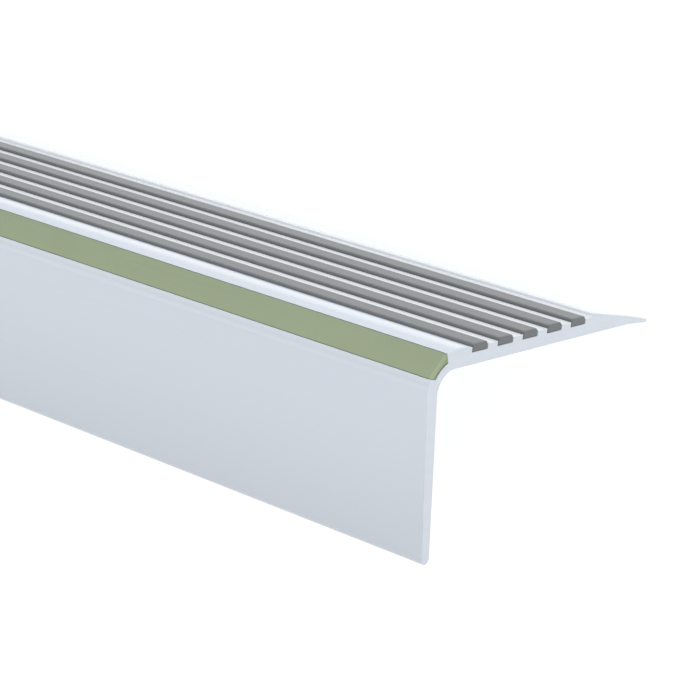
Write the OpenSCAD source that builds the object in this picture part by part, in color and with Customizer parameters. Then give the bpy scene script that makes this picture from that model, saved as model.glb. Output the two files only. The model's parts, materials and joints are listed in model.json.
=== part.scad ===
// Stair nosing: an extruded plastic angle that covers the edge of a step, with
// five grey grip strips let into its tread and a pale green glow strip across
// its nose. It stands unheld like a tent, on the tip of its riser leg and the
// tip of its tail, with its length along X.
//
// The section is drawn as fitted on a step. Its origin is the edge where the
// two seats meet, its first axis runs back over the tread, its second runs up.

/* [Profile] */
// Length of the piece
length = 1000; // [300:50:3000]
// Depth of the tread leg, from the step's edge to the tip of the tail
tread_depth = 58; // [54:0.5:66]
// Thickness of the tread leg between the grip strips
tread_t = 3; // [2.8:0.1:3.4]
// Drop of the riser leg, from the step's edge to its lower tip
riser_drop = 33.1; // [25:0.1:50]
// Thickness of the riser leg at the step's edge
riser_top_t = 2.75; // [2.5:0.05:3.2]
// Thickness of the riser leg at its rounded tip
riser_tip_t = 1.9; // [1.4:0.1:2.4]
// Lean of the riser's back towards the step, in degrees
riser_lean = 4.4; // [0:0.2:6]
// Radius of the inner corner that lies on the step's edge
corner_r = 3.8; // [3:0.1:4.2]

/* [Nose] */
// Width of the glow strip's flat face
glow_face_w = 5.2; // [4.6:0.1:5.4]
// Distance of the glow strip's face from the step's edge
glow_face_out = 0.85; // [0.7:0.05:1]
// Shift of the glow strip's middle from the step's edge up towards the tread
glow_face_up = 0.75; // [0.6:0.05:0.85]
// Wall left between the glow strip and the inner corner
glow_wall = 1.6; // [1.4:0.05:1.7]
// Gap between the glow strip and each side of its recess
glow_gap = 0.06; // [0.02:0.01:0.1]
// Chamfer at each end of the glow strip's face
glow_end_chamfer = 0.45; // [0.2:0.05:0.6]
// Chamfer along the long edges of the glow strip's face
glow_edge_chamfer = 0.06; // [0.04:0.02:0.2]
// Radius of the rounded shoulder above the glow strip
shoulder_r = 12; // [9:0.5:14]
// Height of the shoulder's crest above the tread seat
shoulder_h = 3.45; // [3.35:0.01:3.55]
// Radius of the rounded chin under the glow strip
chin_r = 4.4; // [3.5:0.1:6]

/* [Grip strips] */
// Width of a grip strip
strip_w = 4; // [3:0.1:4.6]
// Height of a grip strip
strip_h = 1.43; // [1.2:0.01:1.7]
// Distance from one grip strip to the next
strip_pitch = 6.71; // [6.2:0.01:7]
// Distance of the first grip strip from the step's edge
strip_start = 8.33; // [8:0.01:9]
// Depth of the groove that a grip strip lies in
groove_depth = 0.93; // [0.5:0.01:1.2]
// Gap between a grip strip and each side of its groove
groove_gap = 0.05; // [0.02:0.01:0.1]
// Radius of the rounded top edges of a grip strip
strip_round = 0.6; // [0.2:0.05:0.8]

/* [Tail] */
// Height of the ridge behind the last grip strip, above the tread seat
ridge_h = 3.65; // [3.5:0.05:4]
// Flat left between the last groove and the foot of the ridge
ridge_land = 2; // [1.5:0.1:2.4]
// Run of the slope from the foot of the ridge to its top
ridge_run = 0.3; // [0.2:0.05:0.6]
// Radius of the rounded top of the ridge
ridge_r = 0.35; // [0.2:0.05:0.45]
// Length of the tail's lip that bends down towards the floor
lip_length = 5.5; // [4:0.1:7]
// Drop of the lip's rounded tip below the tread seat, at its middle
lip_drop = 0.15; // [0.1:0.05:0.4]
// Thickness of the tail where the lip bends down
lip_t = 1.45; // [1.2:0.05:1.8]
// Thickness of the rounded tip of the tail
tip_t = 0.66; // [0.5:0.02:1]

/* [Hidden] */
$fn = 96;

strip_count = 5;
body_color = "#d3dbe3";
grip_color = "#8f9294";
glow_color = "#a3ae92";

// Cutters reach this far past the faces that they cut
over = 2;
// A rounded bulge reaches this far into the leg that it grows from
bulge_root = 0.3;
// A round stands this far past the flats it runs out on, so that they meet in a crisp line
crisp = 0.01;
// A chamfer across an end slopes away from its face at this angle, in degrees
chamfer_angle = 45;

// Direction of an angle, and the point where a line from p touches a circle,
// with turn = 1 for the touch point to the left as seen from p
function direction(angle) = [cos(angle), sin(angle)];
function bearing(v) = atan2(v[1], v[0]);
function touch(p, center, r, turn) =
    center + r * direction(bearing(p - center) - turn * acos(r / norm(p - center)));

// Riser leg: the round tip lies against the line of the leaning back
riser_tip_r = riser_tip_t / 2;
riser_tip_z = riser_tip_r - riser_drop;
riser_tip = [-riser_tip_z * tan(riser_lean) - riser_tip_r / cos(riser_lean), riser_tip_z];
riser_back = riser_tip + riser_tip_r * direction(riser_lean);
riser_top = [-riser_top_t, 0];
riser_front = touch(riser_top, riser_tip, riser_tip_r, -1);

// Inner corner: a circle that touches both seats
corner_reach = corner_r / tan((90 - riser_lean) / 2);
corner = [corner_reach, -corner_r];
corner_back = corner_reach * [sin(riser_lean), -cos(riser_lean)];

// Glow strip: a flat face at 45 degrees, over a wall that follows the corner
glow_angle = 45;
glow_along = direction(glow_angle);
glow_normal = direction(glow_angle + 90);
glow_mid = glow_face_out * glow_normal + glow_face_up * glow_along;
glow_mouth = glow_face_w + 2 * glow_gap;
glow_top = glow_mid + glow_mouth / 2 * glow_along;
glow_low = glow_mid - glow_mouth / 2 * glow_along;
glow_wall_r = corner_r + glow_wall;
glow_foot_angles = [110, 148];
function glow_foot(i) = corner + (glow_wall_r - bulge_root) * direction(glow_foot_angles[i]);

// Shoulder: an arc from the upper edge of the recess, over its crest, to the first groove
shoulder_z = shoulder_h - shoulder_r;
shoulder = [glow_top[0] + sqrt(shoulder_r ^ 2 - (glow_top[1] - shoulder_z) ^ 2), shoulder_z];

// Chin: an arc from the lower edge of the recess that runs out on the riser's front
front_up = direction(bearing(riser_top - riser_front));
front_in = [front_up[1], -front_up[0]];
chin_in = (glow_low - riser_top) * front_in;
chin_along = (glow_low - riser_top) * front_up - sqrt(2 * chin_r * chin_in - chin_in ^ 2);
chin_end = riser_top + chin_along * front_up;
chin = chin_end + chin_r * front_in;

// Grip strips and the land that they stand in
groove_floor = tread_t - groove_depth;
groove_w = strip_w + 2 * groove_gap;
function strip_y(i) = strip_start + (i - 1) * strip_pitch;
land_start = [strip_y(1) + strip_w / 2, tread_t];
land_end = strip_y(strip_count) + strip_w + groove_gap + ridge_land;

// Tail: a ramp from the ridge to the lip, which ends in a round tip
tip_r = tip_t / 2;
tip = [tread_depth - tip_r, -lip_drop];
lip_bend = [tread_depth - lip_length, 0];
ramp_bend = lip_bend + [0, lip_t];

// Ridge: the crossing of the slope behind the last strip and the ramp, rounded off
ridge_foot = [land_end, tread_t];
ridge_peak = [land_end + ridge_run, ridge_h];
ridge_slope = bearing(ridge_peak - ridge_foot);
ridge_fall = bearing(ramp_bend - ridge_peak);
ridge_reach = ridge_r * tan((ridge_slope - ridge_fall) / 2);
ridge_rise_end = ridge_peak - ridge_reach * direction(ridge_slope);
ridge_ramp_start = ridge_peak + ridge_reach * direction(ridge_fall);
ridge = ridge_rise_end + ridge_r * direction(ridge_slope - 90);

// Rest: the floor touches the round tips of both legs
legs = tip - riser_tip;
rest_angle = bearing(legs) + asin((riser_tip_r - tip_r) / norm(legs));
function turned(p) = [
    p[0] * cos(rest_angle) + p[1] * sin(rest_angle),
    p[1] * cos(rest_angle) - p[0] * sin(rest_angle)
];
footprint = [turned(riser_tip)[0] - riser_tip_r, turned(tip)[0] + tip_r];
footprint_mid = (footprint[0] + footprint[1]) / 2;
floor_z = turned(riser_tip)[1] - riser_tip_r - crisp;

// A round disc that stands past the flats it touches
module round_disc(center, r) {
    translate(center) circle(r + crisp);
}

// The part of a disc on the left of the chord from p to q, with a root that
// reaches past the chord into the leg it grows from
module bulge(p, q, center, r) {
    out = direction(bearing(q - p) + 90);
    intersection() {
        round_disc(center, r);
        polygon([p - bulge_root * out, q - bulge_root * out, q + r * out, p + r * out]);
    }
}

// Section of both legs with straight edges, the glow strip's place still filled
module leg_section() {
    polygon([
        riser_back, corner_back, [corner_reach, 0],
        lip_bend, touch(lip_bend, tip, tip_r, -1), touch(ramp_bend, tip, tip_r, 1),
        ramp_bend, ridge_ramp_start, ridge_rise_end, ridge_foot, land_start,
        glow_mid, chin_end, riser_front
    ]);
}

// Section between the sides of the recess, over its wall and under a given face,
// with both sides set in by a given gap
module glow_section(face, gap = 0) {
    difference() {
        polygon(concat(
            [glow_foot(0) - gap * glow_along], face, [glow_foot(1) + gap * glow_along]
        ));
        translate(corner) circle(glow_wall_r);
    }
}

// Direction in which a side of the recess runs out of the nose
function glow_side(i) = direction(bearing((i == 0 ? glow_top : glow_low) - glow_foot(i)));

// Section of one grip strip without its rounded edges, up from the floor of its groove
module grip_section() {
    polygon([
        [0, 0], [strip_w, 0], [strip_w, strip_h - strip_round],
        [strip_w - strip_round, strip_h], [strip_round, strip_h],
        [0, strip_h - strip_round]
    ]);
}

// Runs a section along X as fitted on a step, past both ends by a given amount
module run(past = 0) {
    rotate([90, 0, 90]) linear_extrude(length + 2 * past, center = true) children();
}

// Sets what is drawn as fitted down on the floor, on the tips of both legs
module at_rest() {
    translate([0, -footprint_mid, -floor_z]) rotate([-rest_angle, 0, 0]) children();
}

// Both legs with their rounded shoulder, chin, ridge and tips
module angle() {
    run() leg_section();
    run() bulge(glow_mid, land_start, shoulder, shoulder_r);
    run() bulge(chin_end - over * front_up, glow_mid, chin, chin_r);
    run() round_disc(riser_tip, riser_tip_r);
    run() round_disc(tip, tip_r);
    run() round_disc(ridge, ridge_r);
}

module nosing_profile() {
    color(body_color) at_rest() difference() {
        angle();
        run(over) round_disc(corner, corner_r);
        run(over) glow_section([glow_top + over * glow_side(0), glow_low + over * glow_side(1)]);
        for (i = [1 : strip_count])
            run(over) translate([strip_y(i) - groove_gap, groove_floor])
                square([groove_w, groove_depth + over]);
    }
}

// The glow strip's face is chamfered all round
module glow_strip() {
    upper = glow_top - glow_gap * glow_along;
    lower = glow_low + glow_gap * glow_along;
    color(glow_color) at_rest() difference() {
        run() glow_section([
            upper - glow_edge_chamfer * glow_side(0), upper - glow_edge_chamfer * glow_along,
            lower + glow_edge_chamfer * glow_along, lower - glow_edge_chamfer * glow_side(1)
        ], glow_gap);
        for (side = [-1, 1])
            translate([side * (length / 2 - glow_end_chamfer), glow_mid[0], glow_mid[1]])
                rotate([glow_angle, 0, 0]) rotate([0, side * chamfer_angle, 0])
                    translate([0, 0, over])
                        cube([4 * over, glow_face_w + 2 * over, 2 * over], center = true);
    }
}

module grip_strip(i) {
    color(grip_color) at_rest() translate([0, strip_y(i), groove_floor]) {
        run() grip_section();
        for (y = [strip_round, strip_w - strip_round])
            run() round_disc([y, strip_h - strip_round], strip_round);
    }
}

nosing_profile();
glow_strip();
grip_strip(1);  // grip_strip_1
grip_strip(2);  // grip_strip_2
grip_strip(3);  // grip_strip_3
grip_strip(4);  // grip_strip_4
grip_strip(5);  // grip_strip_5
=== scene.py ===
"""Looks of a stair nosing: a pale plastic angle with grey grip strips and a green glow strip.

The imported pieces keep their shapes. This file rounds their cut edges, gives each its finish, and
adds the floor, the light and the camera of the photograph.
"""

import json
import logging
import math
from dataclasses import dataclass
from enum import Enum

import bmesh
import bpy
from mathutils import Matrix, Vector


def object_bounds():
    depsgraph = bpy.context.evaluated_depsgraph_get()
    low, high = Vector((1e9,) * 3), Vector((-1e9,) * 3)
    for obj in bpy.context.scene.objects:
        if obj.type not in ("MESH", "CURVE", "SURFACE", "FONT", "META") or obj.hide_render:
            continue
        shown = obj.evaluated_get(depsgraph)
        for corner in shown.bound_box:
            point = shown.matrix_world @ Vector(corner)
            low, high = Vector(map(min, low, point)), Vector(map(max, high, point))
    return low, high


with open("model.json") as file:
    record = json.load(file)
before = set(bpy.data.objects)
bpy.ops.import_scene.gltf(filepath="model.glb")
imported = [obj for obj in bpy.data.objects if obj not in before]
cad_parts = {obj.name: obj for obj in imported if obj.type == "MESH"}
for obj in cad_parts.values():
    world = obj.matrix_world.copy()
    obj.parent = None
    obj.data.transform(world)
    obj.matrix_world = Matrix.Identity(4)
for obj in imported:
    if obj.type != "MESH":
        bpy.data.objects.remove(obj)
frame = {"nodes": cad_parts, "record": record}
cad_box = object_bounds()

log = logging.getLogger("stair_nosing")

MM = 0.001
Colour = tuple[float, float, float]
Point = tuple[float, float, float]
Span = tuple[float, float]

WHITE: Colour = (1.0, 1.0, 1.0)
MIDDLE: Point = (0.0, 0.0, 0.0)
ALONG: Point = (1.0, 0.0, 0.0)
ACROSS: Point = (0.0, 1.0, 1.0)
UP_FROM_TREAD: Point = (0.0, 0.503, 0.864)
HALF_LENGTH = max(corner[0] for corner in cad_box)

# How squarely a face has to look along the part before it counts as a sawn end.
SAWN_SQUARELY: Span = (0.80, 0.95)

# Lines along the part, each given by its point at the middle of the length: the centre of the
# rounded inner corner, the seam of the green strip and the shoulder, the middle of the ridge's
# front, and the ridge's top.
CORNER_LINE: Point = (0.0, -15.498 * MM, 24.155 * MM)
SEAM_LINE: Point = (0.0, -14.108 * MM, 31.180 * MM)
RIDGE_LINE: Point = (0.0, 20.29 * MM, 11.55 * MM)
CREST_LINE: Point = (0.0, 20.58 * MM, 11.75 * MM)

# The Mix node's colour sockets go by number, because their names repeat for each kind of data.
MIX_SHARE = 0
MIX_BELOW = 6
MIX_ABOVE = 7
MIX_RESULT = 2


class Maths(Enum):
    """The Math node's operations that the finishes use."""

    ADD = "ADD"
    SUBTRACT = "SUBTRACT"
    MULTIPLY = "MULTIPLY"
    ABSOLUTE = "ABSOLUTE"
    SINE = "SINE"


class Part(Enum):
    """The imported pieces, by their nodes' names, or by how the names of a row of them start."""

    PROFILE = "nosing_profile"
    GLOW = "glow_strip"
    GRIP = "grip_strip_"


@dataclass(frozen=True)
class Cloud:
    """Soft random patches: their size, their finer layers, and how far they shrink along the part.

    A squeeze of 1 leaves them round, and a small one draws them out into long streaks.
    """

    size: float
    detail: float = 2.0
    squeeze: float = 1.0


@dataclass(frozen=True)
class Side:
    """A side of the part: the way it looks, and how squarely a face has to look that way."""

    facing: Point
    squarely: Span


@dataclass(frozen=True)
class Border:
    """A soft border round a line along the part, between two distances from it."""

    line: Point
    span: Span


@dataclass(frozen=True)
class Film:
    """A thin tone over a finish: its shade of a colour, how much shows, and how that varies."""

    shade: float = 1.0
    share: float = 1.0
    swing: float = 0.0


class Value:
    """A number that changes over a surface. Arithmetic on it adds Math nodes."""

    def __init__(self, tree: "FinishTree", socket: bpy.types.NodeSocket) -> None:
        """Holds a socket.

        Args:
            tree: The finish that the socket belongs to.
            socket: The output that gives the number.
        """
        self.tree = tree
        self.socket = socket

    def __add__(self, other: "Value | float") -> "Value":
        """This value plus another."""
        return self.tree.maths(Maths.ADD, self, other)

    def __radd__(self, other: float) -> "Value":
        """A number plus this value."""
        return self.tree.maths(Maths.ADD, other, self)

    def __sub__(self, other: "Value | float") -> "Value":
        """This value less another."""
        return self.tree.maths(Maths.SUBTRACT, self, other)

    def __rsub__(self, other: float) -> "Value":
        """A number less this value."""
        return self.tree.maths(Maths.SUBTRACT, other, self)

    def __mul__(self, other: "Value | float") -> "Value":
        """This value times another."""
        return self.tree.maths(Maths.MULTIPLY, self, other)

    def __rmul__(self, other: float) -> "Value":
        """A number times this value."""
        return self.tree.maths(Maths.MULTIPLY, other, self)

    def __abs__(self) -> "Value":
        """This value without its sign."""
        return self.tree.maths(Maths.ABSOLUTE, self)

    def sine(self) -> "Value":
        """The sine of this value, in radians."""
        return self.tree.maths(Maths.SINE, self)

    def between(self, low: float, high: float) -> "Value":
        """A mask that rises smoothly from 0 at low to 1 at high.

        Args:
            low: Where the mask starts to rise.
            high: Where it is full.

        Returns:
            The mask.
        """
        settings = {"interpolation_type": "SMOOTHSTEP"}
        return self.tree.value("ShaderNodeMapRange", settings, {0: self, 1: low, 2: high})


Given = Value | bpy.types.NodeSocket | float | tuple[float, ...]


class FinishTree:
    """The nodes of one finish: its surface shader and what feeds it."""

    def __init__(self, name: str) -> None:
        """Starts a material with a bare surface shader.

        Args:
            name: The material's name.
        """
        self.material = bpy.data.materials.new(name)
        self.material.use_nodes = True
        self.graph = self.material.node_tree
        self.graph.nodes.clear()
        self.surface = self.node("ShaderNodeBsdfPrincipled")
        self.node("ShaderNodeOutputMaterial", sockets={"Surface": self.surface.outputs[0]})

    def node(
        self,
        kind: str,
        settings: dict[str, object] | None = None,
        sockets: dict[str | int, Given] | None = None,
    ) -> bpy.types.Node:
        """Adds a node.

        Args:
            kind: Blender's name for the node.
            settings: The node's own properties, which are set first.
            sockets: Values or links for its inputs, by name or number.

        Returns:
            The node.
        """
        made = self.graph.nodes.new(kind)
        for name, setting in (settings or {}).items():
            setattr(made, name, setting)
        for key, given in (sockets or {}).items():
            self.feed(made.inputs[key], given)
        return made

    def feed(self, target: bpy.types.NodeSocket, given: Given) -> None:
        """Links an input, or sets it to a number, vector or colour.

        Args:
            target: The input.
            given: What goes into it.
        """
        if isinstance(given, Value):
            given = given.socket
        if isinstance(given, bpy.types.NodeSocket):
            self.graph.links.new(given, target)
        elif isinstance(given, tuple) and target.type == "RGBA":
            target.default_value = (*given, 1.0)
        else:
            target.default_value = given

    def value(
        self,
        kind: str,
        settings: dict[str, object] | None = None,
        sockets: dict[str | int, Given] | None = None,
        output: str | int = 0,
    ) -> Value:
        """Adds a node and takes one of its outputs as a number.

        Args:
            kind: Blender's name for the node.
            settings: The node's own properties.
            sockets: Values or links for its inputs.
            output: The output's name or number.

        Returns:
            The output.
        """
        return Value(self, self.node(kind, settings, sockets).outputs[output])

    def maths(self, operation: Maths, *terms: Value | float) -> Value:
        """Adds a Math node on one or two terms and gives its result."""
        return self.value("ShaderNodeMath", {"operation": operation.value}, dict(enumerate(terms)))

    def place(self) -> bpy.types.NodeSocket:
        """The point on the surface, in metres in the part's own frame."""
        return self.node("ShaderNodeTexCoord").outputs["Object"]

    def stretched(self, point: bpy.types.NodeSocket, factors: Point) -> bpy.types.NodeSocket:
        """A point with each of its coordinates multiplied.

        Args:
            point: The point.
            factors: A factor for X, Y and Z.

        Returns:
            The stretched point.
        """
        settings = {"operation": "MULTIPLY"}
        return self.node("ShaderNodeVectorMath", settings, {0: point, 1: factors}).outputs["Vector"]

    def distance(self, point: bpy.types.NodeSocket, centre: Point) -> Value:
        """How far a point lies from a centre, in metres."""
        settings = {"operation": "DISTANCE"}
        return self.value("ShaderNodeVectorMath", settings, {0: point, 1: centre}, "Value")

    def depth_from(self, line: Point) -> Value:
        """How far the surface lies from a line along the part, in metres."""
        return self.distance(self.stretched(self.place(), ACROSS), line)

    def from_middle(self) -> Value:
        """How far the surface lies from the middle of the part's length, in metres."""
        return self.distance(self.stretched(self.place(), ALONG), MIDDLE)

    def facing(self, direction: Point) -> Value:
        """How squarely the surface looks along a direction, from -1 to 1."""
        sockets = {0: self.node("ShaderNodeNewGeometry").outputs["True Normal"], 1: direction}
        return self.value("ShaderNodeVectorMath", {"operation": "DOT_PRODUCT"}, sockets, "Value")

    def on(self, side: Side) -> Value:
        """A mask of the faces that look the way that a side does."""
        return self.facing(side.facing).between(*side.squarely)

    def beyond(self, border: Border) -> Value:
        """A mask that is 0 inside a border and 1 outside it."""
        return self.depth_from(border.line).between(*border.span)

    def endwise(self) -> Value:
        """How squarely the surface looks along the part's length, either way, from 0 to 1."""
        return abs(self.facing(ALONG))

    def sawn(self) -> Value:
        """A mask of the two sawn ends, whose faces look along the length."""
        return self.endwise().between(*SAWN_SQUARELY)

    def cloud(self, point: bpy.types.NodeSocket, cloud: Cloud) -> Value:
        """Soft random patches from 0 to 1.

        Args:
            point: Where on the surface.
            cloud: How the patches lie.

        Returns:
            The patches' value.
        """
        drawn_out = self.stretched(point, (cloud.squeeze, 1.0, 1.0))
        sockets = {"Vector": drawn_out, "Scale": 1 / cloud.size, "Detail": cloud.detail, "Roughness": 0.5}
        return self.value("ShaderNodeTexNoise", None, sockets, "Fac")

    def grains(self, point: bpy.types.NodeSocket, size: float) -> Value:
        """Distance from the nearest of many scattered grains, 0 at its middle, about 1 between them.

        Args:
            point: Where on the surface.
            size: How far apart the grains lie, in the point's own unit.

        Returns:
            The distance.
        """
        sockets = {"Vector": point, "Scale": 1 / size}
        return self.value("ShaderNodeTexVoronoi", None, sockets, "Distance")

    def blended(self, below: Given, above: Given, share: Value) -> bpy.types.NodeSocket:
        """Lays one colour over another.

        Args:
            below: The colour underneath.
            above: The colour on top.
            share: How much of the top one shows, from 0 to 1.

        Returns:
            The joined colour.
        """
        settings = {"data_type": "RGBA", "blend_type": "MIX"}
        sockets = {MIX_SHARE: share, MIX_BELOW: below, MIX_ABOVE: above}
        return self.node("ShaderNodeMix", settings, sockets).outputs[MIX_RESULT]

    def mottled(self, colour: Colour, shades: Span, patches: Value) -> bpy.types.NodeSocket:
        """A colour that drifts between two shades of itself.

        Args:
            colour: The colour.
            shades: The factors that make its darkest and lightest shade.
            patches: Where it is light, from 0 to 1.

        Returns:
            The mottled colour.
        """
        dark, light = shades
        return self.blended(shade(colour, dark), shade(colour, light), patches)

    def coated(
        self,
        below: bpy.types.NodeSocket,
        colour: Colour,
        film: Film,
        where: Value,
        pattern: Value | None = None,
    ) -> bpy.types.NodeSocket:
        """Lays a film over a colour.

        Args:
            below: The colour underneath.
            colour: The colour that the film is a shade of.
            film: The film.
            where: A mask of the places that have it.
            pattern: What makes more or less of it show.

        Returns:
            The coated colour.
        """
        share = film.share if pattern is None else film.share + film.swing * pattern
        return self.blended(below, shade(colour, film.shade), where * share)

    def relief(self, height: Value) -> bpy.types.NodeSocket:
        """The direction that a surface looks in once it has a fine relief.

        Args:
            height: The relief's height in metres.

        Returns:
            The direction.
        """
        sockets = {"Height": height, "Distance": 1.0, "Strength": 1.0}
        return self.node("ShaderNodeBump", None, sockets).outputs["Normal"]

    def surfaced(self, sockets: dict[str, Given]) -> bpy.types.Material:
        """Feeds the surface shader's own sockets.

        Args:
            sockets: What goes into them, by their names.

        Returns:
            The finished material.
        """
        for name, given in sockets.items():
            self.feed(self.surface.inputs[name], given)
        return self.material


def shade(colour: Colour, factor: float) -> Colour:
    """A colour made darker or lighter by one factor."""
    return tuple(min(1.0, channel * factor) for channel in colour)


@dataclass(frozen=True)
class DrawnPlastic:
    """Pale hard plastic drawn through a die: satin, with faint lines along it and sawn ends.

    It has painted shade in the green strip's seam and beside the ridge's crest, painted light on the
    ridge's front, greyer trodden lands between the grip strips, and a whiter ramp, partly a more
    neutral tone and partly a painted sheen.
    """

    name: str = "pale_drawn_plastic"
    colour: Colour = (0.600, 0.650, 0.715)
    trodden: Colour = (0.628, 0.641, 0.668)
    # The ramp's colour: partly a more neutral tone, and partly lighter as a painted sheen.
    ramp_tone_and_sheen: Colour = (0.640, 0.668, 0.705)
    # Painted light on the ridge's front, which faces away from the tread's lamp.
    ridge_painted_light: Colour = (0.890, 0.935, 0.980)
    patches: Cloud = Cloud(18 * MM, 4.0, 0.35)
    patch_shades: Span = (0.985, 1.015)
    lines: Cloud = Cloud(0.9 * MM, 3.0, 0.004)
    line_shows: Span = (0.58, 0.74)
    line_film: Film = Film(0.97, 0.5)
    line_height: float = 0.0006 * MM
    rubs: Cloud = Cloud(3 * MM, 6.0, 0.05)
    rub_shows: Span = (0.52, 0.72)
    saw_centre: Point = (0.0, 0.060, 0.140)
    saw_gap: float = 0.75 * MM
    saw_wobble: Cloud = Cloud(5 * MM)
    saw_wander: float = 0.45 * MM
    saw_height: float = 0.004 * MM
    saw_film: Film = Film(1.03, 0.6, 0.25)
    # Painted shade on the recess walls in the green strip's seam, lighter near the open ends.
    seam: Side = Side((0.0, -0.971, 0.236), (0.88, 0.96))
    seam_border: Border = Border(SEAM_LINE, (0.4 * MM, 0.6 * MM))
    seam_opens: Span = (HALF_LENGTH - 0.8 * MM, HALF_LENGTH - 0.6 * MM)
    seam_daylight: float = 0.75
    seam_shade_film: Film = Film(0.34)
    # The ridge's front, how far up it the painted light reaches, and how much of it shows.
    ridge: Side = Side((0.0, -0.574, 0.819), (0.70, 0.90))
    ridge_border: Border = Border(RIDGE_LINE, (0.6 * MM, 0.9 * MM))
    ridge_light_film: Film = Film(1.0, 0.8, 0.4)
    tread: Side = Side(UP_FROM_TREAD, (0.985, 0.998))
    shoulder_border: Border = Border(CORNER_LINE, (8.5 * MM, 9.5 * MM))
    trodden_film: Film = Film(1.0, 0.8, 0.2)
    ramp: Side = Side((0.0, 0.679, 0.734), (0.985, 0.994))
    ramp_border: Border = Border(CORNER_LINE, (30 * MM, 32 * MM))
    ramp_tone_and_sheen_film: Film = Film(1.0, 0.6, 0.2)
    # Painted shade on the ramp beside the ridge's crest, standing in for a rounded crest.
    crest_border: Border = Border(CREST_LINE, (0.2 * MM, 2.2 * MM))
    crest_shade_film: Film = Film(0.87)
    roughness: float = 0.16
    patch_dulls: float = 0.05
    rub_dulls: float = 0.012
    saw_dulls: float = 0.12
    ior: float = 1.5

    def make(self) -> bpy.types.Material:
        """Makes the material.

        Returns:
            The material, with the nodes that feed it.
        """
        tree = FinishTree(self.name)
        point = tree.place()
        lines = tree.cloud(point, self.lines)
        patches = tree.cloud(point, self.patches)
        rubs = tree.cloud(point, self.rubs).between(*self.rub_shows)
        sawn = tree.sawn()
        sweep = tree.distance(point, self.saw_centre) + tree.cloud(point, self.saw_wobble) * self.saw_wander
        kerf = (sweep * (2 * math.pi / self.saw_gap)).sine()
        # Painted shade in the seam, lessened near the open ends, where light reaches in.
        daylight = tree.from_middle().between(*self.seam_opens) * self.seam_daylight
        seam_painted_shade = tree.on(self.seam) - tree.beyond(self.seam_border) - daylight
        # Painted light on the ridge's front, near its top.
        ridge_light_mask = tree.on(self.ridge) * (1 - tree.beyond(self.ridge_border))
        lands = tree.on(self.tread) * tree.beyond(self.shoulder_border)
        ramp = tree.on(self.ramp) * tree.beyond(self.ramp_border)
        # Painted shade on the ramp next to the crest.
        crest = ramp - tree.beyond(self.crest_border)

        tone = tree.mottled(self.colour, self.patch_shades, patches)
        tone = tree.coated(tone, self.colour, self.line_film, lines.between(*self.line_shows))
        tone = tree.coated(tone, self.colour, self.saw_film, sawn, kerf)
        # Painted shade in the seam.
        tone = tree.coated(tone, self.colour, self.seam_shade_film, seam_painted_shade)
        # Painted light on the ridge's front, uneven with the rubs.
        tone = tree.coated(tone, self.ridge_painted_light, self.ridge_light_film, ridge_light_mask, rubs)
        tone = tree.coated(tone, self.trodden, self.trodden_film, lands, patches)
        # A whiter ramp: partly a more neutral tone, partly a painted sheen.
        tone = tree.coated(tone, self.ramp_tone_and_sheen, self.ramp_tone_and_sheen_film, ramp, patches)
        # Painted shade along the crest.
        tone = tree.coated(tone, self.trodden, self.crest_shade_film, crest)
        gloss = self.roughness + self.patch_dulls * patches + self.rub_dulls * rubs + self.saw_dulls * sawn
        relief = tree.relief(lines * self.line_height + sawn * kerf * self.saw_height)
        return tree.surfaced({"Base Color": tone, "Roughness": gloss, "IOR": self.ior, "Normal": relief})


@dataclass(frozen=True)
class GrittyRubber:
    """Grey filled rubber with a fine gritty face, faint drag lines along it and a top made paler by a
    painted sheen.
    """

    name: str = "grey_gritty_rubber"
    colour: Colour = (0.167, 0.175, 0.182)
    patches: Cloud = Cloud(9 * MM, 4.0)
    patch_shades: Span = (0.93, 1.07)
    grain: float = 0.30 * MM
    grain_height: float = 0.005 * MM
    speck_gap: float = 0.93 * MM
    speck_shows: Span = (0.08, 0.22)
    speck_film: Film = Film(1.45, 0.35)
    drag: Cloud = Cloud(0.5 * MM, 2.0, 0.02)
    drag_shows: Span = (0.55, 0.75)
    drag_film: Film = Film(0.88, 0.5)
    drag_height: float = 0.0015 * MM
    saw_film: Film = Film(1.12, 0.6)
    # Painted sheen: faces that look up are made paler.
    top: Side = Side(UP_FROM_TREAD, (0.90, 0.985))
    top_sheen_film: Film = Film(1.09, 0.5, 0.3)
    roughness: float = 0.17
    patch_dulls: float = 0.08
    grain_dulls: float = 0.06
    saw_dulls: float = 0.2
    ior: float = 1.45
    sheen_level: float = 0.08

    def make(self) -> bpy.types.Material:
        """Makes the material.

        Returns:
            The material, with the nodes that feed it.
        """
        tree = FinishTree(self.name)
        point = tree.place()
        grit = tree.grains(point, self.grain)
        specks = 1 - tree.grains(point, self.speck_gap).between(*self.speck_shows)
        drag = tree.cloud(point, self.drag)
        patches = tree.cloud(point, self.patches)
        sawn = tree.sawn()

        tone = tree.mottled(self.colour, self.patch_shades, patches)
        tone = tree.coated(tone, self.colour, self.drag_film, drag.between(*self.drag_shows))
        tone = tree.coated(tone, self.colour, self.speck_film, specks)
        tone = tree.coated(tone, self.colour, self.saw_film, sawn)
        # Painted sheen on the tops.
        tone = tree.coated(tone, self.colour, self.top_sheen_film, tree.on(self.top), patches)
        gloss = self.roughness + self.patch_dulls * patches + self.grain_dulls * grit + self.saw_dulls * sawn
        relief = tree.relief((1 - grit) * self.grain_height + drag * self.drag_height)
        return tree.surfaced({
            "Base Color": tone,
            "Roughness": gloss,
            "IOR": self.ior,
            "Specular IOR Level": self.sheen_level,
            "Normal": relief,
        })


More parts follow.
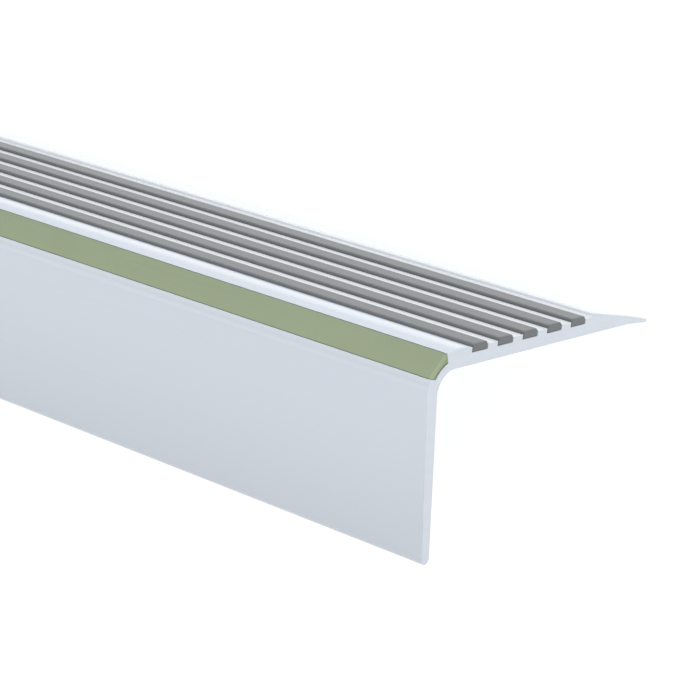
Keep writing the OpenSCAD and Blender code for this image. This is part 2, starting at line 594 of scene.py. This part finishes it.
@dataclass(frozen=True)
class GlowPlastic:
    """Sage green plastic filled with a luminous powder, which shows as a faint mottle.

    Its end chamfers carry a painted highlight, its flanks carry painted shade in the recess, and a thin line
    of painted shade runs along the inner edge of its end faces, at the gap to the recess.
    """

    name: str = "green_glow_plastic"
    colour: Colour = (0.269, 0.320, 0.205)
    patches: Cloud = Cloud(7 * MM, 4.0)
    patch_shades: Span = (0.96, 1.04)
    powder: float = 0.35 * MM
    powder_hides: Span = (0.1, 0.5)
    powder_film: Film = Film(1.12, 0.3)
    powder_height: float = 0.002 * MM
    drag: Cloud = Cloud(0.7 * MM, 3.0, 0.006)
    drag_shows: Span = (0.58, 0.76)
    drag_film: Film = Film(0.92, 0.5)
    drag_height: float = 0.0015 * MM
    saw_film: Film = Film(0.90, 0.8)
    # Painted highlight on the chamfers at the ends.
    chamfer_slant: Span = (0.45, 0.62)
    chamfer_light_film: Film = Film(1.25)
    face: Side = Side((0.0, -0.255, 0.967), (0.80, 0.96))
    # Painted shade on the flanks, inside the recess.
    flank_slant: Span = (0.30, 0.50)
    flank_shade_film: Film = Film(0.40, 0.8)
    # A thin line of painted shade on the end faces, at the gap to the recess.
    gap_shade_border: Border = Border(CORNER_LINE, (5.62 * MM, 5.72 * MM))
    gap_shade_film: Film = Film(0.34)
    roughness: float = 0.36
    patch_dulls: float = 0.08
    saw_dulls: float = 0.1
    ior: float = 1.5

    def make(self) -> bpy.types.Material:
        """Makes the material.

        Returns:
            The material, with the nodes that feed it.
        """
        tree = FinishTree(self.name)
        point = tree.place()
        powder = tree.grains(point, self.powder)
        patches = tree.cloud(point, self.patches)
        drag = tree.cloud(point, self.drag)
        ends = tree.endwise()
        sawn = tree.sawn()
        # Painted highlight on the end chamfers.
        chamfer_painted_light = ends.between(*self.chamfer_slant) - sawn
        # Painted shade on the flanks, inside the recess.
        flank_painted_shade = 1 - tree.on(self.face) - ends.between(*self.flank_slant)
        # Painted shade along the end faces' inner edge, at the gap.
        gap_painted_shade = sawn - tree.beyond(self.gap_shade_border)

        tone = tree.mottled(self.colour, self.patch_shades, patches)
        tone = tree.coated(tone, self.colour, self.powder_film, 1 - powder.between(*self.powder_hides))
        tone = tree.coated(tone, self.colour, self.drag_film, drag.between(*self.drag_shows))
        tone = tree.coated(tone, self.colour, self.saw_film, sawn)
        # Painted highlight on the end chamfers.
        tone = tree.coated(tone, self.colour, self.chamfer_light_film, chamfer_painted_light)
        # Painted shade on the flanks.
        tone = tree.coated(tone, self.colour, self.flank_shade_film, flank_painted_shade)
        # Painted shade line at the gap.
        tone = tree.coated(tone, self.colour, self.gap_shade_film, gap_painted_shade)
        gloss = self.roughness + self.patch_dulls * patches + self.saw_dulls * sawn
        relief = tree.relief(drag * self.drag_height + (1 - powder) * self.powder_height)
        return tree.surfaced({"Base Color": tone, "Roughness": gloss, "IOR": self.ior, "Normal": relief})


@dataclass(frozen=True)
class StudioPaint:
    """A plain near-white paint that is bright enough to leave only a faint shadow."""

    name: str = "plain_pale_floor"
    colour: Colour = (0.20, 0.20, 0.20)
    glow: float = 0.88
    roughness: float = 0.9

    def make(self) -> bpy.types.Material:
        """Makes the material."""
        return FinishTree(self.name).surfaced({
            "Base Color": self.colour,
            "Roughness": self.roughness,
            "Specular IOR Level": 0.0,
            "Emission Color": WHITE,
            "Emission Strength": self.glow,
        })


@dataclass(frozen=True)
class BrokenEdges:
    """Small rounds on a piece's sharp edges, as a saw or a die leaves them."""

    width: float
    segments: int = 3
    sharper_than: float = math.radians(28)
    weld_gap: float = 0.0005 * MM
    flat_within: float = math.radians(0.3)
    flat_weight: int = 80

    def add_to(self, piece: bpy.types.Object) -> None:
        """Adds the rounds as modifiers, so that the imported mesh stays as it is.

        Args:
            piece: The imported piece.
        """
        weld = piece.modifiers.new("join_faces", "WELD")
        weld.merge_threshold = self.weld_gap
        flats = piece.modifiers.new("whole_flats", "DECIMATE")
        flats.decimate_type = "DISSOLVE"
        flats.angle_limit = self.flat_within
        rounds = piece.modifiers.new("broken_edges", "BEVEL")
        rounds.width = self.width
        rounds.segments = self.segments
        rounds.limit_method = "ANGLE"
        rounds.angle_limit = self.sharper_than
        rounds.use_clamp_overlap = False
        rounds.loop_slide = False
        normals = piece.modifiers.new("even_shading", "WEIGHTED_NORMAL")
        normals.mode = "FACE_AREA"
        normals.weight = self.flat_weight


@dataclass
class DressedNode:
    """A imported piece, which gets a finish and broken edges."""

    node: str
    edges: BrokenEdges

    def dress(self, material: bpy.types.Material) -> bpy.types.Object:
        """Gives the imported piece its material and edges.

        Args:
            material: The finish, as made.

        Returns:
            The piece.
        """
        piece = frame["nodes"][self.node]
        for slot in piece.material_slots:
            slot.material = material
        self.edges.add_to(piece)
        return piece


@dataclass
class NosingProfile:
    """The plastic angle: tread, nose, riser leg and ramped tail in one drawn section."""

    finish: DrawnPlastic = DrawnPlastic()
    edges: BrokenEdges = BrokenEdges(0.10 * MM)

    def build(self) -> list[bpy.types.Object]:
        """Dresses the angle and returns it."""
        return [DressedNode(Part.PROFILE.value, self.edges).dress(self.finish.make())]


@dataclass
class GlowStrip:
    """The green strip along the nose."""

    finish: GlowPlastic = GlowPlastic()
    edges: BrokenEdges = BrokenEdges(0.05 * MM)

    def build(self) -> list[bpy.types.Object]:
        """Dresses the strip and returns it."""
        return [DressedNode(Part.GLOW.value, self.edges).dress(self.finish.make())]


@dataclass
class GripStrips:
    """The row of grey strips let into the tread."""

    finish: GrittyRubber = GrittyRubber()
    edges: BrokenEdges = BrokenEdges(0.25 * MM)

    def build(self) -> list[bpy.types.Object]:
        """Dresses every strip with one finish.

        Returns:
            The strips, in order from the nose.
        """
        material = self.finish.make()
        names = sorted(name for name in frame["nodes"] if name.startswith(Part.GRIP.value))
        return [DressedNode(name, self.edges).dress(material) for name in names]


@dataclass(frozen=True)
class StepFrame:
    """The directions of the step that the part fits, seen from the part as it rests.

    Its first axis runs along the step's edge, its second back over the tread and its third up,
    with the origin on the edge at the end that the photograph shows.
    """

    place: Matrix

    @classmethod
    def of_record(cls, record: dict) -> "StepFrame":
        """Finds the step from the part's two seats.

        Args:
            record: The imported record, with the tread's seat and the riser's.

        Returns:
            The step's frame.
        """
        seats = {mount["name"]: mount for mount in record["mounts"]}
        tread = seats["tread_seat"]
        riser = seats["riser_seat"]
        along = Vector(ALONG)
        up = -Vector(tread["axis"])
        planes = Matrix((ALONG, tuple(tread["axis"]), tuple(riser["axis"])))
        reaches = (Vector(seat["axis"]).dot(Vector(seat["pos_m"])) for seat in (tread, riser))
        edge = planes.inverted() @ Vector((HALF_LENGTH, *reaches))
        axes = Matrix((along, up.cross(along), up)).transposed()
        return cls(Matrix.Translation(edge) @ axes.to_4x4())


@dataclass(frozen=True)
class PhotoCamera:
    """The photograph's camera, placed from the step's edge at the part's near end."""

    eye: Point = (236.163 * MM, -305.403 * MM, 115.825 * MM)
    heading: float = math.radians(129.848)
    down: float = math.radians(16.364)
    roll: float = math.radians(5.182)
    lens: float = 130.13
    sensor: float = 36.0
    nearest: float = 10 * MM

    def build(self, step: StepFrame) -> bpy.types.Object:
        """Makes the camera and hands it to the scene.

        Args:
            step: The step that the camera is placed from.

        Returns:
            The camera.
        """
        data = bpy.data.cameras.new("photo_camera")
        data.lens = self.lens
        data.sensor_width = self.sensor
        data.sensor_fit = "HORIZONTAL"
        data.clip_start = self.nearest
        camera = bpy.data.objects.new("photo_camera", data)
        bpy.context.scene.collection.objects.link(camera)
        turn = Matrix.Rotation(self.heading - math.pi / 2, 4, "Z")
        tilt = Matrix.Rotation(math.pi / 2 - self.down, 4, "X")
        spin = Matrix.Rotation(self.roll, 4, "Z")
        camera.matrix_world = step.place @ Matrix.Translation(self.eye) @ turn @ tilt @ spin
        bpy.context.scene.camera = camera
        return camera


@dataclass(frozen=True)
class SoftLamp:
    """A rectangular lamp that spreads soft light and isn't seen itself."""

    name: str
    size: Span
    place: Point
    aim: Point
    power: float

    def hang(self) -> bpy.types.Object:
        """Hangs the lamp, with its long side level.

        Returns:
            The lamp.
        """
        data = bpy.data.lights.new(self.name, "AREA")
        data.shape = "RECTANGLE"
        data.size, data.size_y = self.size
        data.energy = self.power
        lamp = bpy.data.objects.new(self.name, data)
        lamp.location = self.place
        towards = Vector(self.aim) - Vector(self.place)
        lamp.rotation_euler = towards.to_track_quat("-Z", "Y").to_euler()
        lamp.visible_camera = False
        bpy.context.scene.collection.objects.link(lamp)
        return lamp


@dataclass
class Studio:
    """A plain floor, a backdrop, a dim white room and four soft lamps.

    The tread's lamp is large and hangs behind the part. The others are dim and hang close to it,
    which fades the light down its front and along its near end.
    """

    floor_size: float = 8.0
    floor_gap: float = 0.02 * MM
    backdrop_radius: float = 11.5
    backdrop_steps: int = 4
    room_light: float = 0.434
    floor: StudioPaint = StudioPaint()
    backdrop: StudioPaint = StudioPaint("plain_pale_backdrop", (0.0, 0.0, 0.0), 0.967)
    lamps: tuple[SoftLamp, ...] = (
        SoftLamp("tread_lamp", (2.2, 1.0), place=(0.30, 0.80, 0.86), aim=(0.30, 0.0, 0.02), power=16.8),
        SoftLamp(
            "riser_lamp", (1.8, 0.02), place=(0.20, -0.062, 0.044), aim=(0.20, -0.024, 0.022), power=0.136
        ),
        SoftLamp(
            "chin_lamp", (1.8, 0.03), place=(0.20, -0.060, 0.085), aim=(0.20, -0.024, 0.022), power=0.14
        ),
        SoftLamp(
            "end_lamp", (0.05, 0.05), place=(0.565, 0.095, 0.035), aim=(0.50, 0.03, 0.01), power=0.017
        ),
    )

    def build(self) -> None:
        """Makes the floor, the backdrop, the room's light and the lamps."""
        bpy.context.scene.view_settings.view_transform = "Standard"
        self.lay_floor()
        self.hang_backdrop()
        self.light_room()
        for lamp in self.lamps:
            lamp.hang()

    def lay_floor(self) -> None:
        """Lays the floor under the part."""
        half = self.floor_size / 2
        mesh = bpy.data.meshes.new("floor")
        corners = [(-half, -half, 0), (half, -half, 0), (half, half, 0), (-half, half, 0)]
        mesh.from_pydata(corners, [], [(0, 1, 2, 3)])
        mesh.materials.append(self.floor.make())
        floor = bpy.data.objects.new("floor", mesh)
        floor.location.z = -self.floor_gap
        bpy.context.scene.collection.objects.link(floor)

    def hang_backdrop(self) -> None:
        """Hangs a pale backdrop all round, which only the camera sees."""
        shell = bmesh.new()
        bmesh.ops.create_icosphere(shell, subdivisions=self.backdrop_steps, radius=self.backdrop_radius)
        mesh = bpy.data.meshes.new("backdrop")
        shell.to_mesh(mesh)
        shell.free()
        paint = self.backdrop.make()
        paint.cycles.emission_sampling = "NONE"
        mesh.materials.append(paint)
        backdrop = bpy.data.objects.new("backdrop", mesh)
        backdrop.visible_diffuse = False
        backdrop.visible_glossy = False
        backdrop.visible_transmission = False
        backdrop.visible_shadow = False
        bpy.context.scene.collection.objects.link(backdrop)

    def light_room(self) -> None:
        """Fills the room with even white light."""
        world = bpy.data.worlds.new("white_room")
        world.use_nodes = True
        room = world.node_tree.nodes["Background"]
        room.inputs["Color"].default_value = (*WHITE, 1.0)
        room.inputs["Strength"].default_value = self.room_light
        bpy.context.scene.world = world


def main() -> None:
    """Builds the camera, the pieces and the studio in order."""
    logging.basicConfig(level=logging.INFO, format="%(message)s")
    step = StepFrame.of_record(frame["record"])
    PhotoCamera().build(step)
    for assembly in (NosingProfile(), GlowStrip(), GripStrips()):
        for piece in assembly.build():
            edge = assembly.edges.width / MM
            log.info("%s: %s, edges of %.2f mm", piece.name, assembly.finish.name, edge)
    Studio().build()


if __name__ == "__main__":
    main()
